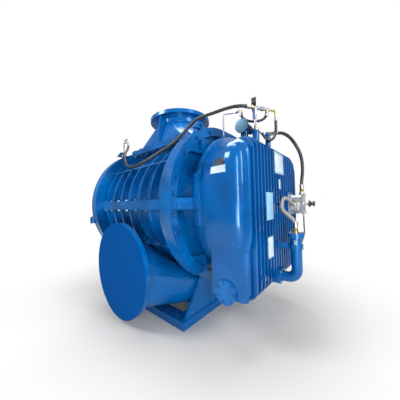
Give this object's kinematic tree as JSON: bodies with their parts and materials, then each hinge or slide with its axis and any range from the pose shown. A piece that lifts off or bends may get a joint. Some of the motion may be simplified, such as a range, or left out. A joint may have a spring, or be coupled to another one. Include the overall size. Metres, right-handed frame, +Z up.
{
  "type": "roots blower",
  "caption": "Twin-rotor roots vacuum blower with lobed rotors, timing gears, finned gear case, oil pump and filter, on a welded base.",
  "frame": {"origin": "centre of the four base anchor holes, on the underside of the base frame", "axes": "+X along the rotor shafts towards the finned gear case, +Y away from the blanked discharge flange, +Z up"},
  "size_m": [2.1983, 1.466, 1.857],
  "materials": {
    "blue_paint": "glossy two-pack paint",
    "zinc_steel": "zinc plated",
    "rotor_iron": "machined",
    "machined_steel": "ground and machined",
    "seal_rubber": "matt",
    "pump_aluminium": "cast and machined",
    "brass": "machined",
    "lever_paint": "satin",
    "gauge_black": "satin",
    "black_hose": "smooth",
    "braided_hose": "woven braid",
    "clear_tube": "flexible"
  },
  "bodies": {
    "housing": {"ball_valves": "brass", "base_frame": "blue_paint", "bearing_covers": "machined_steel", "bearing_outer_rings": "machined_steel", "bearing_rollers": "machined_steel", "breather": "blue_paint", "bypass_hose": "black_hose", "cross_hose": "black_hose", "discharge_blank": "blue_paint", "discharge_nozzle": "blue_paint", "drive_end_cover": "blue_paint", "drive_end_hose": "black_hose", "drive_end_plate_lower": "blue_paint", "drive_end_plate_upper": "blue_paint", "end_plate_bolts": "blue_paint", "filter_basket": "machined_steel", "filter_bracket": "blue_paint", "filter_cover": "blue_paint", "filter_vessel": "blue_paint", "gauge_case": "gauge_black", "gear_carrier_ring": "blue_paint", "gear_case": "blue_paint", "gear_case_bolts": "blue_paint", "gear_end_plate_lower": "blue_paint", "gear_end_plate_upper": "blue_paint", "hose_fittings": "brass", "inlet_foot_bolts": "blue_paint", "inlet_nozzle": "blue_paint", "lower_casing": "blue_paint", "manifold": "blue_paint", "oil_cup": "blue_paint", "oil_plugs": "blue_paint", "oil_pump": "pump_aluminium", "oil_system_bolts": "zinc_steel", "pedestal": "blue_paint", "pressure_hose": "black_hose", "riser_pipes": "blue_paint", "shaft_seals": "seal_rubber", "split_flange_bolts": "blue_paint", "suction_hose": "braided_hose", "sump_cover": "blue_paint", "sump_cover_bolts": "zinc_steel", "upper_casing": "blue_paint", "vent_tube": "clear_tube"},
    "rear_rotor_set": {"rear_rotor": "rotor_iron", "rear_shaft": "machined_steel", "rear_inner_rings": "machined_steel", "rear_timing_gear": "machined_steel", "rear_gear_nut": "machined_steel"},
    "front_rotor_set": {"front_rotor": "rotor_iron", "front_shaft": "machined_steel", "front_inner_rings": "machined_steel", "front_timing_gear": "machined_steel", "front_gear_nut": "machined_steel"},
    "manifold_lever_body": {"manifold_lever": "lever_paint"},
    "vent_lever_body": {"vent_lever": "lever_paint"},
    "drive_end_lever_body": {"drive_end_lever": "lever_paint"},
    "relief_knob_body": {"relief_knob": "pump_aluminium"},
    "needle_body": {"gauge_needle": "lever_paint"}
  },
  "joints": [
    {"name": "rear_rotor_spin", "type": "hinge", "parent": "housing", "child": "rear_rotor_set", "pos_m": [0, 0.235, 0.942], "axis": [1, 0, 0], "continuous": true},
    {"name": "front_rotor_spin", "type": "hinge", "parent": "housing", "child": "front_rotor_set", "pos_m": [0, -0.235, 0.942], "axis": [1, 0, 0], "continuous": true},
    {"name": "manifold_lever_turn", "type": "hinge", "parent": "housing", "child": "manifold_lever_body", "pos_m": [0.96, -0.21, 1.585], "axis": [0, -1, 0], "range_deg": [0, 90]},
    {"name": "vent_lever_turn", "type": "hinge", "parent": "housing", "child": "vent_lever_body", "pos_m": [0.8, -0.155, 1.68], "axis": [0, 0, 1], "range_deg": [0, 90]},
    {"name": "drive_end_lever_turn", "type": "hinge", "parent": "housing", "child": "drive_end_lever_body", "pos_m": [-0.505, -0.372, 1.693], "axis": [0, 0, 1], "range_deg": [0, 90]},
    {"name": "relief_knob_turn", "type": "hinge", "parent": "housing", "child": "relief_knob_body", "pos_m": [1.2, 0.235, 0.914], "axis": [1, 0, 0], "range_deg": [0, 330]},
    {"name": "gauge_needle_turn", "type": "hinge", "parent": "housing", "child": "needle_body", "pos_m": [0.9577, -0.18, 1.665], "axis": [-0.9, -0.436, 0], "range_deg": [0, 270], "stiffness_Nm_per_rad": 0.002}
  ],
  "couplings": [
    {"joint": "front_rotor_spin", "follows": "rear_rotor_spin", "ratio": -1}
  ]
}
